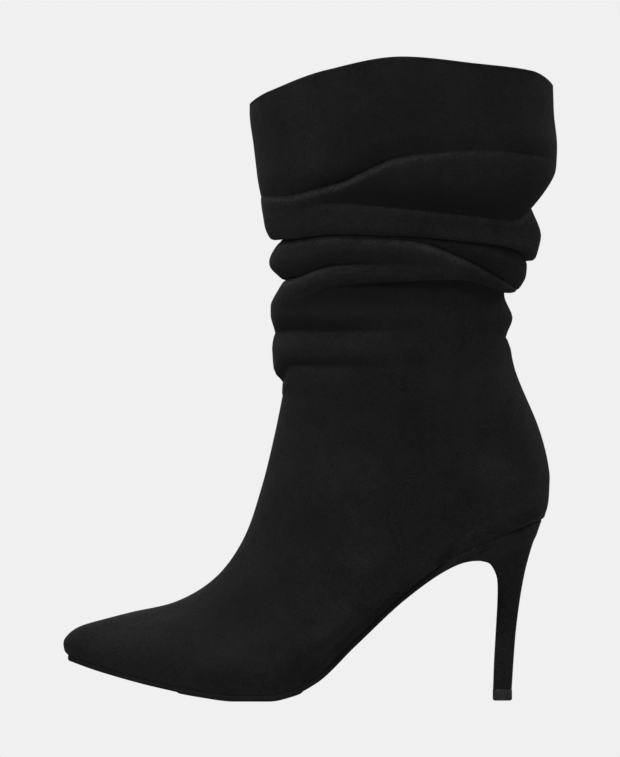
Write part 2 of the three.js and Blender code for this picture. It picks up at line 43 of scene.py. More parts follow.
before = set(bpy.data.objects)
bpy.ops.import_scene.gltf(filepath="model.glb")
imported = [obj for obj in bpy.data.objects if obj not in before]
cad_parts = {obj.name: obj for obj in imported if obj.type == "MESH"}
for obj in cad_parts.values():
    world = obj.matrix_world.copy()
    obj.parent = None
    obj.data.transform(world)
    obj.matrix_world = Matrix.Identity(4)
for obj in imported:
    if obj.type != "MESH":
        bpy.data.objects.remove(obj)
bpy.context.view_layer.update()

# Lasted bottom from toe to heel: height is toe spring times spring plus heel height times rise.
LAST_BOTTOM = {
    "along": (0, 0.073, 0.197, 0.285, 0.352, 0.423, 0.469, 0.516, 0.595, 0.697, 0.803, 0.904, 0.982, 1.01),
    "spring": (1, 0.695, 0.3, 0.095, 0, 0, 0, 0, 0, 0, 0, 0, 0, 0),
    "rise": (0, 0, 0, 0, 0, 0, 0.027, 0.094, 0.303, 0.568, 0.789, 0.915, 1, 1.03),
}

# Fullness of the feather line from toe to heel: shares of the ball width on the outer and the
# inner side, and of the heel seat width on both.
FEATHER_OUTLINE = {
    "along": (0, 0.03, 0.08, 0.15, 0.25, 0.33, 0.42, 0.5, 0.6, 0.7, 0.8, 0.9, 0.97, 1),
    "outer": (0.27, 0.285, 0.35, 0.416, 0.484, 0.518, 0.52, 0.446, 0.25, 0.1, 0, 0, 0, 0),
    "inner": (0.27, 0.285, 0.35, 0.4, 0.499, 0.546, 0.493, 0.392, 0.155, 0.015, -0.03, 0, 0, 0),
    "seat": (0, 0, 0, 0, 0, 0, 0, 0, 0.175, 0.36, 0.585, 0.825, 1.015, 1.06),
}

# Sections of the foot from the feather line up to the ankle, each from a front point on the vamp
# to a back point on the counter. rise runs from the lasted bottom to the ankle, sag is how much
# of the bottom's curve a section keeps, width its half width as a share of the ball, lasted how
# far it keeps the feather's outline and swell how far that outline is blown out.
FOOT_COLUMNS = ("front", "front_rise", "back", "back_rise", "sag", "width", "lasted", "swell")
FOOT_SECTIONS = (
    (0.0105, 0, 0.9816, 0, 1, 0.5, 1, 1),
    (0.001, 0.018, 0.989, 0.021, 1, 0.5, 1, 1.02),
    (0.004, 0.066, 0.992, 0.054, 0.97, 0.53, 0.96, 1.045),
    (0.042, 0.137, 0.995, 0.09, 0.92, 0.53, 0.85, 1.06),
    (0.134, 0.222, 0.9975, 0.135, 0.82, 0.52, 0.72, 1.06),
    (0.235, 0.294, 0.999, 0.19, 0.68, 0.49, 0.56, 1.04),
    (0.314, 0.39, 1, 0.27, 0.5, 0.465, 0.4, 1.02),
    (0.3715, 0.524, 1, 0.38, 0.3, 0.46, 0.25, 1),
    (0.408, 0.694, 0.9915, 0.56, 0.13, 0.47, 0.12, 1),
    (0.4345, 0.868, 0.975, 0.77, 0.04, 0.49, 0.04, 1),
    (0.451, 1, 0.9498, 1, 0, 0.513, 0, 1),
)

# Sections of the shaft over the crowns of its rolls, from the ankle (0) to the collar's top (1):
# how far front, back and width have opened from the ankle's size to the collar's.
SHAFT_SECTIONS = {
    "rise": (0, 0.042, 0.083, 0.133, 0.223, 0.302, 0.356, 0.416, 0.46, 0.53, 0.603, 0.676, 0.736, 0.84, 1),
    "front": (0, 0.12, 0.3, 0.34, 0.4, 0.43, 0.44, 0.45, 0.52, 0.65, 0.78, 0.88, 0.96, 1.1, 1.06),
    "back": (0, -0.2, -0.36, -0.46, -0.42, -0.14, 0.08, 0.4, 0.53, 0.73, 0.92, 1.05, 1.08, 0.97, 0.92),
    "width": (0, 0, 0.01, 0.03, 0.12, 0.24, 0.33, 0.43, 0.51, 0.63, 0.75, 0.86, 0.94, 1, 1),
}

# Stations round the shaft in degrees: 0 front, 90 outer side, 180 back, 270 inner side
ROUND_STATIONS = (0, 30, 60, 90, 120, 150, 180, 225, 270, 315)

# Collar line: share of the shaft's height at each station
COLLAR_LINE = (0.866, 0.902, 0.961, 1, 0.98, 0.96, 0.921, 0.942, 0.966, 0.905)

# Creases between the slouched rolls, from the lowest up: height at each station as a share of the
# shaft's height, depth there as a share of a full crease, how many full crease depths it takes to
# open out above and below, how round the roll is above and below, how much painted highlight
# lightens the top of the roll under it and how much painted shade darkens the suede above and below.
# A value that changes round the shaft is given at each station.
FOLDS = (
    {  # lower front trough
        "heights": (0.035, 0.082, 0.08, 0.08, 0.078, 0.066, 0.066, 0.066, 0.07, 0.06),
        "depths": (0.22, 0.45, 0.4, 0.08, 0, 0, 0, 0, 0.08, 0.2),
        "above": (0.6, 0.9, 1, 1, 1, 1, 1, 1, 1, 0.8),
        "below": 0.8,
        "round": (0.2, 0.5),
        "painted_light_and_nap": 0.9,
        "painted_shade": (1.2, 0.5),
    },
    {  # upper front trough
        "heights": (0.181, 0.184, 0.181, 0.19, 0.195, 0.181, 0.167, 0.175, 0.193, 0.188),
        "depths": (0.25, 0.6, 0.55, 0.12, 0, 0.1, 0.35, 0.32, 0.2, 0.25),
        "above": 1.3,
        "below": 0.9,
        "round": (0.2, 0.5),
        "painted_light_and_nap": 0.9,
        "painted_shade": (1.2, 0.5),
    },
    {  # crease under the lowest roll
        "heights": (0.284, 0.268, 0.314, 0.329, 0.334, 0.303, 0.292, 0.296, 0.293, 0.275),
        "depths": (0.05, 0.25, 0.42, 0.5, 0.5, 0.65, 0.95, 0.8, 0.65, 0.35),
        "above": (0.8, 1.3, 0.9, 0.6, 0.6, 0.6, 0.6, 0.6, 0.6, 0.6),
        "below": (2, 2.4, 2.8, 2.8, 2.6, 1.8, 1.4, 1.4, 1.5, 1.8),
        "round": ((0.3, 0.3, 0.5, 0.9, 0.9, 0.9, 0.9, 0.9, 0.9, 0.6), 0.1),
        "painted_light_and_nap": 0,
        "painted_shade": (0, (1, 1.6, 1.2, 0.8, 0.5, 0.4, 0.5, 0.5, 0.5, 0.6)),
    },
    {  # front crease inside the lowest roll
        "heights": (0.328, 0.338, 0.377, 0.384, 0.368, 0.316, 0.301, 0.311, 0.353, 0.342),
        "depths": (1, 0.7, 0.6, 0.2, 0, 0, 0, 0, 0.25, 0.75),
        "above": 1.3,
        "below": (1.5, 1.3, 1.3, 1.3, 1.3, 1.3, 1.3, 1.3, 1.3, 1.5),
        "round": (0.5, (0.45, 0.8, 0.8, 0.8, 0.8, 0.8, 0.8, 0.8, 0.6, 0.3)),
        "painted_light_and_nap": (1.4, 2.8, 2, 0.5, 0.3, 0.3, 0.3, 0.3, 1, 1.4),
        "painted_shade": (0.75, 0),
    },
    {  # crease under the wedge roll
        "heights": (0.445, 0.446, 0.458, 0.453, 0.396, 0.338, 0.306, 0.32, 0.392, 0.445),
        "depths": (0.5, 0.3, 0.3, 0.5, 0.7, 0.5, 0.3, 0.4, 0.6, 0.7),
        "above": 1.2,
        "below": 0.9,
        "round": (0.8, 0.8),
        "painted_light_and_nap": (0.6, 1, 1.2, 2, 2.6, 2.4, 1, 1, 1, 1),
        "painted_shade": (0.5, 0),
    },
    {  # crease under the cuff
        "heights": (0.449, 0.454, 0.468, 0.462, 0.447, 0.424, 0.39, 0.404, 0.459, 0.46),
        "depths": (0.95, 0.5, 0.42, 0.42, 0.45, 0.6, 0.5, 0.6, 0.8, 0.9),
        "above": 0.35,
        "below": 1.2,
        "round": (1, 0.8),
        "painted_light_and_nap": (0.4, 1.6, 1.9, 0.8, 0, 0, 0, 0, 0.3, 0.4),
        "painted_shade": (0.1, 0),
    },
    {  # crease under the back puff
        "heights": (0.537, 0.54, 0.563, 0.544, 0.524, 0.509, 0.555, 0.573, 0.576, 0.555),
        "depths": (0, 0, 0.25, 0.6, 0.85, 1, 1.35, 0.75, 0.4, 0.08),
        "above": 2.5,
        "below": 2,
        "round": (0.7, 0.4),
        "painted_light_and_nap": (0.3, 0.3, 0.6, 0.9, 1.2, 1.1, 0.5, 0.4, 0.3, 0.3),
        "painted_shade": ((0.6, 0.6, 2.2, 1.2, 0.65, 0.5, 0.4, 0.5, 0.6, 0.6), 0),
    },
    {  # valley over the back puff
        "heights": (0.585, 0.585, 0.617, 0.702, 0.72, 0.708, 0.682, 0.665, 0.63, 0.6),
        "depths": (0.08, 0.35, 0.6, 0.4, 0.2, 0.1, 0, 0.08, 0.2, 0.12),
        "above": 1.4,
        "below": (0.7, 0.7, 0.7, 1, 1, 0.9, 0.9, 0.9, 0.9, 0.9),
        "round": (0.5, 0.9),
        "painted_light_and_nap": (9, 4, 3.2, 3, 2.4, 2.4, 2, 2, 2, 4),
        "painted_shade": (0.5, 0),
    },
)

# Patches on the outer side where the nap is brushed up: place and size along the foot and up the
# boot as shares of the foot's length, slope of the patch in degrees and how light it is.
BRUSHED_PATCHES = (
    {"along": 0.885, "up": 0.475, "long": 0.1, "high": 0.035, "slope": -28, "light": 0.34},
    {"along": 0.42, "up": 0.055, "long": 0.06, "high": 0.018, "slope": 8, "light": 0.16},
    {"along": 0.13, "up": 0.115, "long": 0.07, "high": 0.025, "slope": 15, "light": 0.12},
    {"along": 0.33, "up": 0.185, "long": 0.15, "high": 0.045, "slope": 24, "light": -0.24},
    {"along": 0.55, "up": 0.5, "long": 0.07, "high": 0.11, "slope": 75, "light": 0.1},
    {"along": 0.64, "up": 0.31, "long": 0.14, "high": 0.06, "slope": 45, "light": 0.14},
    {"along": 0.73, "up": 0.25, "long": 0.2, "high": 0.04, "slope": 42, "light": 0.2},
    {"along": 0.49, "up": 1.15, "long": 0.05, "high": 0.1, "slope": 0, "light": 0.22},
    {"along": 0.69, "up": 1.19, "long": 0.1, "high": 0.07, "slope": 0, "light": -0.14},
    {"along": 0.61, "up": 0.72, "long": 0.06, "high": 0.02, "slope": 0, "light": 0.14},
    {"along": 0.85, "up": 0.73, "long": 0.04, "high": 0.025, "slope": -20, "light": 0.14},
    {"along": 0.69, "up": 0.62, "long": 0.1, "high": 0.06, "slope": 0, "light": -0.08},
)

# Mesh rows between neighbouring foot sections and between neighbouring creases of the shaft
FOOT_ROW_COUNTS = (10, 10, 12, 14, 14, 12, 12, 14, 12, 10)
SHAFT_ROW_COUNTS = (9, 9, 14, 10, 14, 9, 14, 18, 30)

# Sections of the heel from its tip up to the seat: front and back run from the tip (0) to the
# seat (1), the rises are shares of the height of the sole's end and of the seat's back, and wide
# opens from the tip's outline to the seat's.
HEEL_COLUMNS = ("front", "front_rise", "back", "back_rise", "wide")
HEEL_SECTIONS = (
    (-0.023, 0.269, 0.053, 0.206, 0.003),
    (-0.076, 0.508, 0.138, 0.383, 0.02),
    (-0.122, 0.72, 0.276, 0.56, 0.05),
    (-0.128, 0.855, 0.421, 0.693, 0.1),
    (-0.081, 0.927, 0.553, 0.782, 0.18),
    (0.076, 1, 0.717, 0.871, 0.34),
    (0.302, 1.024, 0.836, 0.915, 0.6),
    (0.535, 1.027, 0.928, 0.959, 0.82),
    (0.8, 1.017, 0.975, 0.98, 0.965),
    (1, 1, 1, 0.99, 1),
)


def length_value(name, description, value):
    """A size in metres that a user can change."""
    return bpy.props.FloatProperty(
        name=name, description=description, default=value, min=0, precision=4, subtype="DISTANCE", unit="LENGTH"
    )


def share_value(name, description, value, high=1):
    """A plain share or factor that a user can change."""
    return bpy.props.FloatProperty(name=name, description=description, default=value, min=0, max=high)


def colour_value(name, description, value):
    """A colour that a user can change."""
    return bpy.props.FloatVectorProperty(
        name=name, description=description, default=value, size=3, min=0, max=1, subtype="COLOR"
    )


class BootSizes(bpy.types.PropertyGroup):
    """Driving sizes of the boot"""

    foot_length: length_value("Foot length", "Toe tip to the back of the heel along the floor", 0.2386)
    ball_width: length_value("Ball width", "Lasted bottom at the ball", 0.074)
    seat_width: length_value("Heel seat width", "Lasted bottom at the heel", 0.052)
    heel_height: length_value("Heel height", "Floor to the feather line at the back of the heel", 0.0887)
    toe_spring: length_value("Toe spring", "How far the sole's tip stands off the floor", 0.02)
    toe_swing: length_value("Toe swing", "How far the toe tip leans to the inner side", 0.007)
    ankle_height: length_value("Ankle height", "Feather line at the back up to the ankle section", 0.0613)
    ankle_depth: length_value("Ankle depth", "Ankle section, front to back", 0.1192)
    ankle_width: length_value("Ankle width", "Ankle section, side to side", 0.076)
    shaft_height: length_value("Shaft height", "Ankle section to the collar's highest point", 0.1657)
    collar_depth: length_value("Collar depth", "Collar, front to back", 0.1484)
    collar_width: length_value("Collar width", "Collar, side to side", 0.094)
    fold_depth: length_value("Fold depth", "A full crease between two rolls", 0.008)
    upper_wall: length_value("Upper wall", "Suede and its lining", 0.0018)
    sole_thickness: length_value("Sole thickness", "Outsole under the foot", 0.002)
    sole_tail: length_value("Sole tail", "Outsole where it meets the heel", 0.004)
    tread_thickness: length_value("Tread thickness", "Raised forepart tread", 0.0006)
    insole_thickness: length_value("Insole thickness", "Covered insole board", 0.002)
    lift_height: length_value("Top lift height", "Hard lift under the heel's tip", 0.0056)
    tip_depth: length_value("Heel tip depth", "Heel's tip, front to back", 0.0092)
    tip_width: length_value("Heel tip width", "Heel's tip, side to side", 0.0088)
    fit_gap: length_value("Fit gap", "Clearance between touching pieces", 0.0003)


class BootFinish(bpy.types.PropertyGroup):
    """Colours and surface of the boot's materials"""

    suede_dark: colour_value("Suede, nap down", "Darkest tone of the suede", (0.0055, 0.0055, 0.0057))
    suede_light: colour_value("Suede, nap up", "Lightest tone of the suede", (0.0185, 0.0185, 0.019))
    sole_colour: colour_value("Sole", "Moulded outsole", (0.015, 0.015, 0.0155))
    lift_colour: colour_value("Top lift", "Hard plastic lift", (0.026, 0.026, 0.028))
    lining_colour: colour_value("Lining", "Woven lining of the shaft", (0.016, 0.015, 0.014))
    sock_colour: colour_value("Sock lining", "Smooth cover of the insole", (0.02, 0.018, 0.016))
    nap_depth: length_value("Nap depth", "Height of the suede's nap", 0.00022)
    # Scales the brushed patches together with the painted highlights and painted shade of the folds and the heel seat
    crest_lift: share_value("Rubbed crests", "How much lighter the nap is on the rolls' crests", 1.7, high=3)
    slouch: share_value("Slouch", "How far creases are tucked up under the roll above", 0.25)


class BootStage(bpy.types.PropertyGroup):
    """Camera, floor and lights"""

    camera_distance: length_value("Camera distance", "Camera to the middle of the boot", 10)
    picture_height: length_value("Picture height", "Height that the picture shows at the boot", 0.3716)
    aim_height: length_value("Aim height", "Height of the picture's middle over the floor", 0.1581)
    aim_along: bpy.props.FloatProperty(
        name="Aim along", description="Picture's middle along the boot", default=-0.0002, subtype="DISTANCE"
    )
    paper_colour: colour_value("Paper", "Floor and background", (0.871, 0.871, 0.871))
    key_power: bpy.props.FloatProperty(name="Key light", description="Watts, upper left front", default=22, min=0)
    top_power: bpy.props.FloatProperty(name="Top light", description="Watts, straight above", default=30, min=0)
    fill_power: bpy.props.FloatProperty(name="Fill light", description="Watts, low right front", default=4, min=0)
    bounce_power: bpy.props.FloatProperty(name="Bounce light", description="Watts, from the floor", default=12, min=0)
    back_power: bpy.props.FloatProperty(name="Back lights", description="Watts, each one behind", default=15, min=0)
    room_light: bpy.props.FloatProperty(name="Room light", description="Even light all round", default=0.24, min=0)


def mix(a, b, share):
    """Value part of the way from a to b."""
    return a + (b - a) * share


def smooth_curve(xs, ys, x):
    """Smooth curve through points that never overshoots them."""
    xs = np.asarray(xs, float)
    ys = np.asarray(ys, float)
    slope = np.diff(ys) / np.diff(xs)
    product = slope[:-1] * slope[1:]
    total = np.where(product > 0, slope[:-1] + slope[1:], 1)
    inner = np.where(product > 0, 2 * product / total, 0)
    tangent = np.concatenate([slope[:1], inner, slope[-1:]])
    k = np.clip(np.searchsorted(xs, x) - 1, 0, len(xs) - 2)
    width = xs[k + 1] - xs[k]
    rise = ys[k + 1] - ys[k]
    t = (x - xs[k]) / width
    bend = (1 - t) * tangent[k] * width - t * tangent[k + 1] * width + (2 * t - 1) * rise
    return ys[k] + t * rise + t * (1 - t) * bend


def blended_section(columns, sections, place):
    """The table's row at any place between two of its rows, blended smoothly."""
    rows = np.asarray(sections, float)
    last = len(rows) - 1
    k = min(last - 1, int(place))
    t = place - k
    leave = (rows[k + 1] - rows[max(0, k - 1)]) / 2
    arrive = (rows[min(last, k + 2)] - rows[k]) / 2
    step = rows[k + 1] - rows[k]
    bend = (1 - t) * (leave - step) - t * (arrive - step)
    return dict(zip(columns, rows[k] + t * step + t * (1 - t) * bend))


def round_value(values, angle):
    """A value known at the stations round the shaft, or one for all of them, at an angle in radians."""
    if np.ndim(values) == 0:
        return values
    stations = np.asarray(ROUND_STATIONS, float)
    turns = np.concatenate([stations - 360, stations, stations + 360])
    return smooth_curve(turns, np.tile(values, 3), np.degrees(angle) % 360)


class Last:
    """The boot's form worked out from its sizes. Lengths are in metres from the toe tip."""

    def __init__(self, sizes):
        self.sizes = sizes
        self.feather_front = sizes.foot_length * 0.0105
        self.feather_back = sizes.foot_length * 0.9816
        self.leg_centre = sizes.foot_length * 0.7
        self.ball_centre = sizes.foot_length * 0.37
        self.seat_front = sizes.foot_length * 0.8115
        self.tip_centre = sizes.foot_length * 0.9032
        self.tail_start = sizes.foot_length * 0.68
        self.tread_front = sizes.foot_length * 0.235
        self.tread_back = sizes.foot_length * 0.492
        self.ankle = sizes.heel_height + sizes.ankle_height

    def bottom(self, x):
        """Height of the lasted bottom over the floor."""
        along = x / self.sizes.foot_length
        spring = smooth_curve(LAST_BOTTOM["along"], LAST_BOTTOM["spring"], along)
        rise = smooth_curve(LAST_BOTTOM["along"], LAST_BOTTOM["rise"], along)
        base = self.sizes.sole_thickness + self.sizes.tread_thickness + self.sizes.fit_gap
        return base + self.sizes.toe_spring * spring + (self.sizes.heel_height - base) * rise

    def under(self, x, drop):
        """Height under the lasted bottom, with drop measured square to its slope."""
        step = 0.0005
        slope = (self.bottom(x + step) - self.bottom(x - step)) / (2 * step)
        return self.bottom(x) - drop * np.hypot(1, slope)

    def middle(self, x):
        """The foot's middle line bends to the inner side in front of the ball."""
        return self.sizes.toe_swing * np.maximum(0, 1 - x / self.ball_centre) ** 2

    def fullness(self, angle):
        """Half width of the feather line over the sine of the angle."""
        along = (1 - np.cos(angle)) / 2
        ball = [smooth_curve(FEATHER_OUTLINE["along"], FEATHER_OUTLINE[side], along) for side in ("outer", "inner")]
        seat = smooth_curve(FEATHER_OUTLINE["along"], FEATHER_OUTLINE["seat"], along)
        side = np.where(np.sin(angle) >= 0, ball[0], ball[1])
        return self.sizes.ball_width * side + self.sizes.seat_width * seat

    def feather(self, angle, out=0.0):
        """Plan of the feather line, moved out (or in, when negative)."""
        angle = np.asarray(angle, float)
        before, here, after = (self.feather_plan(angle + turn) for turn in (-0.001, 0, 0.001))
        run = after - before
        run /= np.linalg.norm(run, axis=-1, keepdims=True)
        return here + out * np.stack([run[..., 1], -run[..., 0]], -1)

    def feather_plan(self, angle):
        x = mix(self.feather_front, self.feather_back, (1 - np.cos(angle)) / 2)
        return np.stack([x, self.middle(x) - np.sin(angle) * self.fullness(angle)], -1)

    def angle_at(self, x):
        share = (x - self.feather_front) / (self.feather_back - self.feather_front)
        return np.arccos(1 - 2 * np.clip(share, 0, 1))

    def foot(self, place, angle):
        """Points of one foot section round the boot."""
        sizes = self.sizes
        section = blended_section(FOOT_COLUMNS, FOOT_SECTIONS, place)
        share = (1 - np.cos(angle)) / 2
        front_x = section["front"] * sizes.foot_length
        front_z = mix(self.bottom(front_x), self.ankle, section["front_rise"])
        back_z = mix(sizes.heel_height, self.ankle, section["back_rise"])
        bottom = self.bottom(mix(self.feather_front, self.feather_back, share))
        chord = mix(self.bottom(self.feather_front), sizes.heel_height, share)
        x = mix(front_x, section["back"] * sizes.foot_length, share)
        lasted = self.fullness(angle) * section["swell"]
        half = mix(section["width"] * sizes.ball_width, lasted, section["lasted"]) * np.sin(angle)
        z = mix(front_z, back_z, share) + section["sag"] * (bottom - chord)
        return np.stack([x, self.middle(x) - half, z], -1)

    def crease(self, height, angle, spread=0.0, soften=1.0):
        """How far the creases draw the shaft in. spread widens each trough's floor."""
        depth = self.sizes.fold_depth
        pull = np.zeros(np.broadcast(height, angle).shape)
        for fold in FOLDS:
            rise = (height - round_value(fold["heights"], angle)) * self.sizes.shaft_height
            reach = depth * np.where(rise > 0, round_value(fold["above"], angle), round_value(fold["below"], angle))
            rounds = [round_value(values, angle) for values in fold["round"]]
            roundness = soften * np.where(rise > 0, *rounds)
            t = np.clip((np.abs(rise) - spread) / reach, 0, 1)
            opened = mix((1 - np.cos(np.pi * t)) / 2, np.sqrt(1 - (1 - t) ** 2), roundness)
            pull = np.hypot(pull, depth * round_value(fold["depths"], angle) * (1 - opened))
        return pull

    def nap(self, height, angle):
        """Painted light on the folds: over 0 for a painted highlight on the rolls' tops, under 0 for painted shade
        above and below the creases.
        """
        depth = self.sizes.fold_depth
        drop, width = 0.19 * depth, 0.17 * depth
        share = np.zeros(np.broadcast(height, angle).shape)
        for fold in FOLDS:
            rise = (height - round_value(fold["heights"], angle)) * self.sizes.shaft_height
            deep = round_value(fold["depths"], angle)
            # Painted highlight on the top of the roll under the crease
            share += round_value(fold["painted_light_and_nap"], angle) * deep * np.exp(-(((rise + drop) / width) ** 2))
            # Painted shade above and below the crease
            reaches = [0.6 * depth * round_value(fold[side], angle) for side in ("above", "below")]
            reach = np.where(rise > 0, *reaches)
            painted_shade = [round_value(values, angle) for values in fold["painted_shade"]]
            share -= np.where(rise > 0, *painted_shade) * deep * np.exp(-((rise / reach) ** 2))
        return np.clip(share, -0.55, 2)

    def painted_seat_light(self, place, angle):
        """Painted highlight on the upper's lower edge, most over the heel: a lighter band that offsets the shade where
        the upper turns under.
        """
        over_heel = np.clip((1 - np.cos(angle)) / 2 * 8 - 6, 0, 1)
        return mix(0.15, 0.6, over_heel) * math.exp(-(((place - 0.7) / 0.8) ** 2))

    def brushed(self, points):
        """How far the nap is brushed up in patches on the outer side, 0 to 1."""
        x, y, z = np.moveaxis(points / self.sizes.foot_length, -1, 0)
        share = np.zeros(x.shape)
        for patch in BRUSHED_PATCHES:
            slope = math.radians(patch["slope"])
            ahead, over = x - patch["along"], z - patch["up"]
            run = (ahead * math.cos(slope) + over * math.sin(slope)) / patch["long"]
            rise = (over * math.cos(slope) - ahead * math.sin(slope)) / patch["high"]
            share += patch["light"] * np.exp(-(run**2) - rise**2)
        return np.where(y < self.middle(x * self.sizes.foot_length) / self.sizes.foot_length, share, 0)

    def shaft(self, height, angle, tuck, draw=0.0, spread=0.0, soften=1.0):
        """Points of the shaft. draw moves them all in, tuck lifts the creases."""
        sizes = self.sizes
        front, back, half = (
            mix(low, high, smooth_curve(SHAFT_SECTIONS["rise"], SHAFT_SECTIONS[column], height)) / 2
            for column, low, high in (
                ("front", sizes.ankle_depth, sizes.collar_depth),
                ("back", sizes.ankle_depth, sizes.collar_depth),
                ("width", sizes.ankle_width, sizes.collar_width),
            )
        )
        reach = (front + back) / 2
        centre = self.leg_centre + (back - front) / 2
        out_x = -np.cos(angle) * half
        out_y = -np.sin(angle) * reach
        size = np.hypot(out_x, out_y)
        pull = self.crease(height, angle, spread, soften)
        x = centre - np.cos(angle) * reach - out_x / size * (pull + draw)
        y = -np.sin(angle) * half - out_y / size * (pull + draw)
        z = self.ankle + sizes.shaft_height * height + tuck * pull
        return np.stack([x, self.middle(x) + y, z], -1)

    def row_heights(self, angle, counts):
        """Heights of the shaft's mesh rows: one on each crease and more between."""
        lines = [np.zeros_like(angle)] + [round_value(fold["heights"], angle) for fold in FOLDS]
        lines.append(round_value(COLLAR_LINE, angle))
        rows = []
        for low, high, count in zip(lines, lines[1:], counts):
            for k in range(1, count + 1):
                share = k / count
                even = mix(share, (1 - math.cos(math.pi * share)) / 2, 0.5)
                rows.append(mix(low, high, even))
        return rows


def round_angles(count, evening=0.35):
    """Angles once round the boot, evened out so that the long sides get as many as the ends."""
    turn = 2 * np.pi * np.arange(count) / count
    return turn + evening * np.sin(2 * turn) / 2


def to_world(points):
    """From lengths along the foot to the frame, whose origin is under the middle of the box."""
    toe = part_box("upper")[0][0] - 0.001 * bpy.context.scene.boot_sizes.foot_length
    return np.asarray(points) + np.array([toe, 0, 0])


def ring_mesh(name, rings, closed, painted_light_and_nap=None, lined_from=None):
    """A smooth closed mesh through rings of points, with zipped caps unless it closes on itself.

    Faces from the ring lined_from on take the piece's second material.
    """
    rings = to_world(rings)
    count = rings.shape[1]
    index = np.arange(rings.shape[0] * count).reshape(rings.shape[:2])
    low = index if closed else index[:-1]
    high = np.roll(index, -1, 0) if closed else index[1:]
    faces = np.stack([low, np.roll(low, -1, 1), np.roll(high, -1, 1), high], -1).reshape(-1, 4).tolist()
    if not closed:
        for ring, turned in ((index[0], True), (index[-1], False)):
            for j in range(count // 2 - 1):
                face = [ring[j], ring[j + 1], ring[count - 2 - j], ring[count - 1 - j]]
                faces.append([int(corner) for corner in (face[::-1] if turned else face)])
    mesh = bpy.data.meshes.new(name)
    mesh.from_pydata(rings.reshape(-1, 3).tolist(), [], faces)
    if painted_light_and_nap is not None:
        mesh.attributes.new("painted_light_and_nap", "FLOAT", "POINT").data.foreach_set("value", painted_light_and_nap.ravel())
    if lined_from is not None:
        mesh.polygons.foreach_set("material_index", [int(k >= lined_from * count) for k in range(len(faces))])
    tidy_mesh(mesh)
    piece = bpy.data.objects.new(name, mesh)
    bpy.context.scene.collection.objects.link(piece)
    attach(piece, "root")
    return piece


def tidy_mesh(mesh):
    """Merge doubled points, drop empty faces, face outward and shade smooth."""
    work = bmesh.new()
    work.from_mesh(mesh)
    bmesh.ops.remove_doubles(work, verts=work.verts, dist=1e-6)
    bmesh.ops.dissolve_degenerate(work, dist=1e-7, edges=work.edges)
    bmesh.ops.recalc_face_normals(work, faces=work.faces)
    work.to_mesh(mesh)
    work.free()
    mesh.shade_smooth()


def new_material(name):
    """An empty material with a Principled BSDF, its node tree and a coordinate in metres."""
    material = bpy.data.materials.new(name)
    material.use_nodes = True
    tree = material.node_tree
    shader = tree.nodes["Principled BSDF"]
    place = tree.nodes.new("ShaderNodeTexCoord").outputs["Object"]
    return material, tree, shader, place


def add_noise(tree, place, scale, detail=3.0, roughness=0.55, stretch=None):
    """A noise texture, finer with a larger scale, and drawn out when stretch is given."""
    if stretch:
        mapping = tree.nodes.new("ShaderNodeMapping")
        mapping.inputs["Scale"].default_value = stretch
        tree.links.new(place, mapping.inputs["Vector"])
        place = mapping.outputs["Vector"]
    noise = tree.nodes.new("ShaderNodeTexNoise")
    noise.inputs["Scale"].default_value = scale
    noise.inputs["Detail"].default_value = detail
    noise.inputs["Roughness"].default_value = roughness
    tree.links.new(place, noise.inputs["Vector"])
    return noise.outputs["Fac"]


def add_math(tree, operation, first, second):
    """A math node on two sockets or numbers."""
    node = tree.nodes.new("ShaderNodeMath")
    node.operation = operation
    for socket, value in zip(node.inputs, (first, second)):
        if isinstance(value, (int, float)):
            socket.default_value = value
        else:
            tree.links.new(value, socket)
    return node.outputs["Value"]


def add_range(tree, value, low, high, to_low=0.0, to_high=1.0):
    """A value stretched from one range to another, smoothly."""
    node = tree.nodes.new("ShaderNodeMapRange")
    node.interpolation_type = "SMOOTHSTEP"
    for socket, number in zip(node.inputs[1:5], (low, high, to_low, to_high)):
        socket.default_value = number
    tree.links.new(value, node.inputs["Value"])
    return node.outputs["Result"]


def add_colours(tree, share, dark, light):
    """Colour between two tones."""
    node = tree.nodes.new("ShaderNodeMix")
    node.data_type = "RGBA"
    node.clamp_factor = False
    node.inputs["A"].default_value = (*dark, 1)
    node.inputs["B"].default_value = (*light, 1)
    tree.links.new(share, node.inputs["Factor"])
    return node.outputs["Result"]


def add_bump(tree, height, distance, strength=1.0, under=None):
    """Bump from a height of 0 to 1 times distance in metres."""
    node = tree.nodes.new("ShaderNodeBump")
    node.inputs["Distance"].default_value = distance
    node.inputs["Strength"].default_value = strength
    tree.links.new(height, node.inputs["Height"])
    if under:
        tree.links.new(under, node.inputs["Normal"])
    return node.outputs["Normal"]


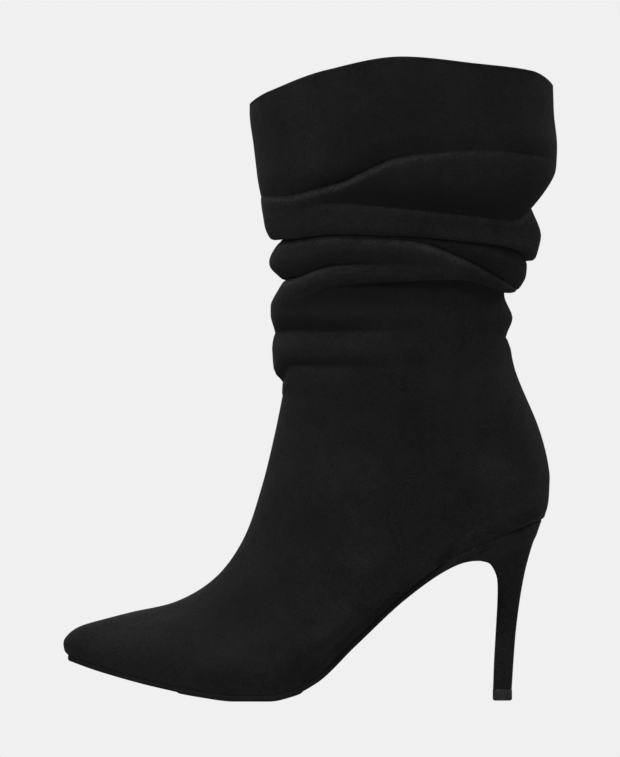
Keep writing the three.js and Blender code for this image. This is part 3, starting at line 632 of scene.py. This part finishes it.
def suede_material(name, finish):
    """Brushed suede: matt, mottled where the nap lies up or down, with a fine fibrous grain, and lightened or darkened
    by a mesh attribute that holds the brushed patches and painted light on the folds.
    """
    material, tree, shader, place = new_material(name)
    patches = add_range(tree, add_noise(tree, place, 30, 4, 0.65), 0.38, 0.64)
    strokes = add_range(tree, add_noise(tree, place, 170, 4, 0.65, stretch=(1, 1, 0.5)), 0.3, 0.7)
    grain = add_range(tree, add_noise(tree, place, 1150, 4, 0.9), 0.43, 0.59)
    fibres = add_noise(tree, place, 2600, 2, 0.6, stretch=(1, 1, 0.5))
    tone = add_math(tree, "MULTIPLY", patches, 0.34)
    tone = add_math(tree, "ADD", tone, add_math(tree, "MULTIPLY", strokes, 0.2))
    tone = add_math(tree, "ADD", tone, add_math(tree, "MULTIPLY", grain, 0.8))
    # The attribute holds the brushed patches plus painted highlights on the rolls' tops and painted shade in the
    # creases and at the heel seat
    crest = tree.nodes.new("ShaderNodeAttribute")
    crest.attribute_name = "painted_light_and_nap"
    lift = add_math(tree, "MULTIPLY", crest.outputs["Fac"], finish.crest_lift)
    tone = add_math(tree, "MULTIPLY", tone, add_math(tree, "ADD", lift, 1.0))
    colour = add_colours(tree, tone, finish.suede_dark, finish.suede_light)
    tree.links.new(colour, shader.inputs["Base Color"])
    shader.inputs["Roughness"].default_value = 0.92
    shader.inputs["Specular IOR Level"].default_value = 0.1
    shader.inputs["Sheen Weight"].default_value = 0.05
    shader.inputs["Sheen Roughness"].default_value = 0.55
    shader.inputs["Sheen Tint"].default_value = (0.75, 0.75, 0.8, 1)
    soft = add_bump(tree, strokes, finish.nap_depth * 1.6, 0.5)
    rough = add_bump(tree, grain, finish.nap_depth, 1.0, under=soft)
    normal = add_bump(tree, fibres, finish.nap_depth * 0.5, 0.6, under=rough)
    tree.links.new(normal, shader.inputs["Normal"])
    return material


def lining_material(finish):
    """Thin woven lining inside the shaft."""
    material, tree, shader, place = new_material("boot_lining")
    weave = tree.nodes.new("ShaderNodeTexWave")
    weave.bands_direction = "Z"
    weave.inputs["Scale"].default_value = 420
    weave.inputs["Distortion"].default_value = 1.2
    tree.links.new(place, weave.inputs["Vector"])
    patches = add_noise(tree, place, 60, 3)
    tone = add_math(tree, "MULTIPLY", add_math(tree, "ADD", weave.outputs["Fac"], patches), 0.5)
    dark = tuple(value * 0.6 for value in finish.lining_colour)
    tree.links.new(add_colours(tree, tone, dark, finish.lining_colour), shader.inputs["Base Color"])
    shader.inputs["Roughness"].default_value = 0.75
    tree.links.new(add_bump(tree, weave.outputs["Fac"], 0.0001, 0.5), shader.inputs["Normal"])
    return material


def grained_material(name, colour, roughness, scale, depth, gloss=0.5):
    """Smooth leather or moulded plastic with a fine grain and faint wear."""
    material, tree, shader, place = new_material(name)
    cells = tree.nodes.new("ShaderNodeTexVoronoi")
    cells.inputs["Scale"].default_value = scale
    tree.links.new(place, cells.inputs["Vector"])
    wear = add_noise(tree, place, scale * 0.07, 5, 0.6)
    dark = tuple(value * 0.65 for value in colour)
    tree.links.new(add_colours(tree, add_range(tree, wear, 0.3, 0.7), dark, colour), shader.inputs["Base Color"])
    tree.links.new(add_range(tree, wear, 0.3, 0.7, roughness - 0.08, roughness + 0.08), shader.inputs["Roughness"])
    tree.links.new(add_bump(tree, cells.outputs["Distance"], depth, 0.4), shader.inputs["Normal"])
    shader.inputs["Specular IOR Level"].default_value = gloss
    return material


class BOOT_OT_upper(bpy.types.Operator):
    """Build the slouched suede upper with its lining"""

    bl_idname = "boot.upper"
    bl_label = "Upper"

    def execute(self, context):
        sizes = context.scene.boot_sizes
        finish = context.scene.boot_finish
        last = Last(sizes)
        angles = round_angles(280)
        places = [0.0]
        for k, count in enumerate(FOOT_ROW_COUNTS):
            places += [k + (j + 1) / count for j in range(count)]
        foot = [last.foot(place, angles) for place in places]
        heights = last.row_heights(angles, SHAFT_ROW_COUNTS)
        heights[-1] = heights[-1] - 0.5 * sizes.upper_wall / sizes.shaft_height
        shaft = [last.shaft(height, angles, finish.slouch) for height in heights]
        outside = np.array(foot + shaft)
        inside = inner_rows(last, angles, outside, places, heights)
        roll = collar_roll(outside[-1], inside[-1])
        rings = np.concatenate([outside, roll, inside[::-1]])
        painted_light_and_nap = last.brushed(rings)
        # Painted highlights on the rolls' tops and painted shade in the creases
        painted_light_and_nap[len(foot) : len(outside)] += [last.nap(height, angles) for height in heights]
        # Painted highlight in a band over the seam at the heel seat
        painted_light_and_nap[: len(foot)] += [last.painted_seat_light(place, angles) for place in places]
        piece = ring_mesh("suede_upper", rings, True, painted_light_and_nap, len(outside) + len(roll) + 1)
        piece.data.materials.append(suede_material("boot_suede", finish))
        piece.data.materials.append(lining_material(finish))
        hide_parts("upper")
        return {"FINISHED"}


def inner_rows(last, angles, outside, places, heights):
    """Rows of the lining's side, from the feather line up, a wall's thickness inside."""
    wall = last.sizes.upper_wall
    rows = []
    for k in range(0, len(places), 3):
        if k == 0:
            plan = last.feather(angles, -wall)
            rows.append(np.column_stack([plan, last.bottom(plan[:, 0])]))
            continue
        around = np.roll(outside[k], -1, 0) - np.roll(outside[k], 1, 0)
        upward = outside[k + 1] - outside[k - 1]
        out = np.cross(around, upward)
        out /= np.linalg.norm(out, axis=1, keepdims=True)
        rows.append(outside[k] - wall * out)
    spread = 0.45 * last.sizes.fold_depth
    for k in range(2, len(heights), 3):
        level = heights[k]
        low = last.shaft(level, angles, 0.0, wall, spread, 0.3)
        rows.append(low)
    top = outside[-1]
    around = np.roll(top, -1, 0) - np.roll(top, 1, 0)
    out = np.column_stack([around[:, 1], -around[:, 0], np.zeros(len(top))])
    out /= np.linalg.norm(out, axis=1, keepdims=True)
    rows[-1] = top - wall * out
    return np.array(rows)


def collar_roll(outer, inner):
    """The collar's turned edge: a half round from the outer to the inner side."""
    rows = []
    middle = (outer + inner) / 2
    half = (outer - inner) / 2
    radius = np.linalg.norm(half, axis=1, keepdims=True)
    for turn in np.radians((35, 70, 110, 145)):
        row = middle + half * math.cos(turn)
        row[:, 2:] += radius * math.sin(turn) * 0.8
        rows.append(row)
    return np.array(rows)


class BOOT_OT_insole(bpy.types.Operator):
    """Build the covered insole"""

    bl_idname = "boot.insole"
    bl_label = "Insole"

    def execute(self, context):
        sizes = context.scene.boot_sizes
        last = Last(sizes)
        inset = sizes.upper_wall + sizes.fit_gap
        angles = side_angles(last, last.feather_front + inset, last.feather_back - inset, 150)
        thick = sizes.insole_thickness
        profile = ((0.0004, 0.02), (0, 0.2), (0, 0.75), (0.0002, 0.93), (0.0007, 1))
        loops = [bottom_loop(last, angles, -inset - draw, -thick * share) for draw, share in profile]
        piece = ring_mesh("sock_insole", loops, False)
        colour = context.scene.boot_finish.sock_colour
        piece.data.materials.append(grained_material("boot_sock_leather", colour, 0.55, 900, 0.00012))
        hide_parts("insole")
        return {"FINISHED"}


def side_angles(last, start, end, count):
    """Angles of the stations along one side between two places."""
    low, high = last.angle_at(start), last.angle_at(end)
    return np.linspace(low, high, count)


def bottom_loop(last, angles, out, drop):
    """One loop round a flat piece that follows the lasted bottom, drop under it."""
    sides = []
    for sign in (1, -1):
        plan = last.feather(sign * angles, out)
        depth = drop(plan[:, 0]) if callable(drop) else drop
        sides.append(np.column_stack([plan, last.under(plan[:, 0], depth)]))
    return np.concatenate([sides[0], sides[1][::-1]])


class BOOT_OT_outsole(bpy.types.Operator):
    """Build the thin moulded outsole with its raised forepart tread"""

    bl_idname = "boot.outsole"
    bl_label = "Outsole"

    def execute(self, context):
        sizes = context.scene.boot_sizes
        last = Last(sizes)
        gap = sizes.fit_gap
        end = last.seat_front
        angles = side_angles(last, last.feather_front, end, 260)
        edge, bevel, inset = 0.0004, 0.0005, 0.003

        def thickness(x):
            share = np.clip((x - last.tail_start) / (last.seat_front - last.tail_start), 0, 1)
            return mix(sizes.sole_thickness, sizes.sole_tail, share**2)

        def tread(x):
            inside = np.clip((x - last.tread_front) / 0.0006, 0, 1) * np.clip((last.tread_back - x) / 0.0006, 0, 1)
            return sizes.tread_thickness * inside

        profile = (
            (edge - 0.0002, 0.0, 0),
            (edge, 0.06, 0),
            (edge, 0.6, 0),
            (edge - 0.4 * bevel, 0.88, 0),
            (edge - bevel, 1, 0),
            (-inset + bevel, 1, 0),
            (-inset, 1, 0.15),
            (-inset - 0.4 * bevel, 1, 0.85),
            (-inset - bevel, 1, 1),
            (-inset - 4 * bevel, 1, 1),
        )
        loops = []
        for out, share, proud in profile:
            loop = bottom_loop(last, angles, out, lambda x: (gap + thickness(x)) * share + tread(x) * proud)
            loop[[len(angles) - 1, len(angles)], 0] = end
            loops.append(loop)
        piece = ring_mesh("moulded_outsole", loops, False)
        colour = context.scene.boot_finish.sole_colour
        piece.data.materials.append(grained_material("boot_sole", colour, 0.7, 1400, 0.00008, 0.1))
        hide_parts("outsole")
        return {"FINISHED"}


def tip_outline(share):
    """Half outline of the heel's tip from front to back: flat breast, round back."""
    widest, breast = 0.4, 0.62
    front = 1 - (1 - breast) * (np.maximum(0, widest - share) / widest) ** 2
    back = np.sqrt(np.maximum(0, 1 - (np.maximum(0, share - widest) / (1 - widest)) ** 2))
    return np.where(share < widest, front, back)


def tip_ring(last, stations, height, out):
    """A level ring with the outline of the heel's tip."""
    half = last.sizes.tip_depth / 2 + out
    x = last.tip_centre - half + 2 * half * stations
    y = (last.sizes.tip_width / 2 + out) * tip_outline(stations)
    z = np.full_like(x, height)
    return np.concatenate([np.column_stack([x, -y, z]), np.column_stack([x, y, z])[::-1]])


def seat_sides(last, stations):
    """The heel seat's outline, outer side and inner side, under the lasted bottom."""
    angles = last.angle_at(mix(last.seat_front, last.feather_back, stations))
    sides = []
    for sign in (1, -1):
        plan = last.feather(sign * angles, 0.0004)
        plan[0, 0] = last.seat_front
        sides.append(np.column_stack([plan, last.under(plan[:, 0], 0)]))
    return sides


class BOOT_OT_heel(bpy.types.Operator):
    """Build the covered heel and its top lift"""

    bl_idname = "boot.heel"
    bl_label = "Heel and top lift"

    def execute(self, context):
        sizes = context.scene.boot_sizes
        finish = context.scene.boot_finish
        last = Last(sizes)
        stations = (1 - np.cos(np.linspace(0, np.pi, 44))) / 2
        seat = seat_sides(last, stations)
        front_end = last.under(last.seat_front, sizes.fit_gap + sizes.sole_tail)
        back_end = seat[0][-1][2]
        tip_front = last.tip_centre - sizes.tip_depth / 2
        tip_back = last.tip_centre + sizes.tip_depth / 2
        rings = [tip_ring(last, stations, sizes.lift_height, -0.0002)]
        rings.append(tip_ring(last, stations, sizes.lift_height + sizes.fit_gap, 0.0))
        for place in np.linspace(0, len(HEEL_SECTIONS) - 1, 82):
            section = blended_section(HEEL_COLUMNS, HEEL_SECTIONS, place)
            front_x = mix(tip_front, last.seat_front, section["front"])
            back_x = mix(tip_back, seat[0][-1][0], section["back"])
            x = mix(front_x, back_x, stations)
            z = mix(front_end * section["front_rise"], back_end * section["back_rise"], stations)
            slim = sizes.tip_width / 2 * tip_outline(stations)
            outer = mix(-slim, seat[0][:, 1], section["wide"])
            inner = mix(slim, seat[1][:, 1], section["wide"])
            rings.append(np.concatenate([np.column_stack([x, outer, z]), np.column_stack([x, inner, z])[::-1]]))
        rings.append(np.concatenate([seat[0], seat[1][::-1]]))
        brushed_up = np.full((len(rings), len(rings[0])), 0.14)
        cover = ring_mesh("covered_heel", rings, False, brushed_up)
        cover.data.materials.append(suede_material("boot_heel_suede", finish))
        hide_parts("heel")
        self.top_lift(last, stations, finish)
        return {"FINISHED"}

    def top_lift(self, last, stations, finish):
        """The hard lift under the tip, with rounded lower edges."""
        profile = ((0, -0.0008), (0.00015, -0.0004), (0.0006, 0.00008), (0.001, 0.00015), (0.97, 0.00015), (1, 0.00005))
        height = last.sizes.lift_height
        rings = []
        for rise, out in profile:
            level = rise * height if rise > 0.5 else rise
            rings.append(tip_ring(last, stations, level, out))
        lift = ring_mesh("heel_top_lift", rings, False)
        lift.data.materials.append(grained_material("boot_lift_plastic", finish.lift_colour, 0.5, 1200, 0.00006, 0.3))
        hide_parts("top_lift")


class BOOT_OT_stage(bpy.types.Operator):
    """Build the paper floor, soft lights and camera"""

    bl_idname = "boot.stage"
    bl_label = "Stage"

    def execute(self, context):
        stage = context.scene.boot_stage
        paper = glowing_paper(stage.paper_colour)
        reach = 4 * stage.camera_distance
        bpy.ops.mesh.primitive_plane_add(size=2 * reach)
        floor = context.object
        floor.name = "stage_floor"
        bpy.ops.mesh.primitive_uv_sphere_add(segments=48, ring_count=24, radius=reach)
        backdrop = context.object
        backdrop.name = "stage_backdrop"
        for sheet in (floor, backdrop):
            sheet.data.materials.append(paper)
            sheet.visible_diffuse = False
            sheet.visible_glossy = False
            sheet.visible_shadow = False
        world = bpy.data.worlds.new("studio")
        world.use_nodes = True
        world.node_tree.nodes["Background"].inputs["Strength"].default_value = stage.room_light
        world.node_tree.nodes["Background"].inputs["Color"].default_value = (*stage.paper_colour, 1)
        context.scene.world = world
        add_area_light("key_light", (-0.9, -1.3, 1.9), 0.7, stage.key_power, stage.aim_height)
        add_area_light("top_light", (0.1, -0.1, 2.3), 0.9, stage.top_power, stage.aim_height)
        add_area_light("fill_light", (1.5, -2.0, 0.5), 1.4, stage.fill_power, stage.aim_height)
        add_area_light("back_light", (1.5, 1.5, 1.3), 1.2, stage.back_power, stage.aim_height)
        add_area_light("inner_light", (-1.2, 1.7, 1.3), 1.2, stage.back_power, stage.aim_height)
        add_area_light("bounce_light", (0.0, -1.5, -1.4), 1.8, stage.bounce_power, stage.aim_height)
        context.scene.view_settings.view_transform = "Standard"
        camera_data = bpy.data.cameras.new("picture_camera")
        camera_data.lens = camera_data.sensor_width * stage.camera_distance / stage.picture_height
        camera_data.clip_end = 100
        camera = bpy.data.objects.new("picture_camera", camera_data)
        camera.location = (stage.aim_along, -stage.camera_distance, stage.aim_height)
        camera.rotation_euler = (math.radians(90), 0, 0)
        context.scene.collection.objects.link(camera)
        context.scene.camera = camera
        return {"FINISHED"}


def glowing_paper(colour):
    """Evenly lit paper, the same pale tone from every side."""
    paper = bpy.data.materials.new("stage_paper")
    paper.use_nodes = True
    nodes = paper.node_tree.nodes
    nodes.clear()
    glow = nodes.new("ShaderNodeEmission")
    glow.inputs["Color"].default_value = (*colour, 1)
    output = nodes.new("ShaderNodeOutputMaterial")
    paper.node_tree.links.new(glow.outputs["Emission"], output.inputs["Surface"])
    return paper


def add_area_light(name, place, size, power, aim_height):
    """A soft square light that looks at the middle of the boot."""
    data = bpy.data.lights.new(name, "AREA")
    data.size = size
    data.energy = power
    light = bpy.data.objects.new(name, data)
    light.location = place
    aim = Vector((0, 0, aim_height)) - Vector(place)
    light.rotation_euler = aim.to_track_quat("-Z", "Y").to_euler()
    bpy.context.scene.collection.objects.link(light)


class BOOT_PT_panel(bpy.types.Panel):
    """Buttons for the boot's pieces"""

    bl_idname = "BOOT_PT_panel"
    bl_label = "Slouch Boot"
    bl_space_type = "VIEW_3D"
    bl_region_type = "UI"
    bl_category = "Slouch Boot"

    def draw(self, context):
        for operator in OPERATORS:
            self.layout.operator(operator.bl_idname)
        for group in (context.scene.boot_sizes, context.scene.boot_finish, context.scene.boot_stage):
            for name in group.__annotations__:
                self.layout.prop(group, name)


GROUPS = (BootSizes, BootFinish, BootStage)
OPERATORS = (BOOT_OT_stage, BOOT_OT_upper, BOOT_OT_insole, BOOT_OT_outsole, BOOT_OT_heel)


def register():
    """Register the classes and hang the settings on the scene."""
    for item in (*GROUPS, *OPERATORS, BOOT_PT_panel):
        bpy.utils.register_class(item)
    bpy.types.Scene.boot_sizes = bpy.props.PointerProperty(type=BootSizes)
    bpy.types.Scene.boot_finish = bpy.props.PointerProperty(type=BootFinish)
    bpy.types.Scene.boot_stage = bpy.props.PointerProperty(type=BootStage)


def unregister():
    """Take the settings and classes away again."""
    del bpy.types.Scene.boot_stage
    del bpy.types.Scene.boot_finish
    del bpy.types.Scene.boot_sizes
    for item in (BOOT_PT_panel, *reversed(OPERATORS), *reversed(GROUPS)):
        bpy.utils.unregister_class(item)


def main():
    """Register the add-on and build the stage and the whole boot."""
    register()
    bpy.ops.boot.stage()
    bpy.ops.boot.upper()
    bpy.ops.boot.insole()
    bpy.ops.boot.outsole()
    bpy.ops.boot.heel()


if __name__ == "__main__":
    main()
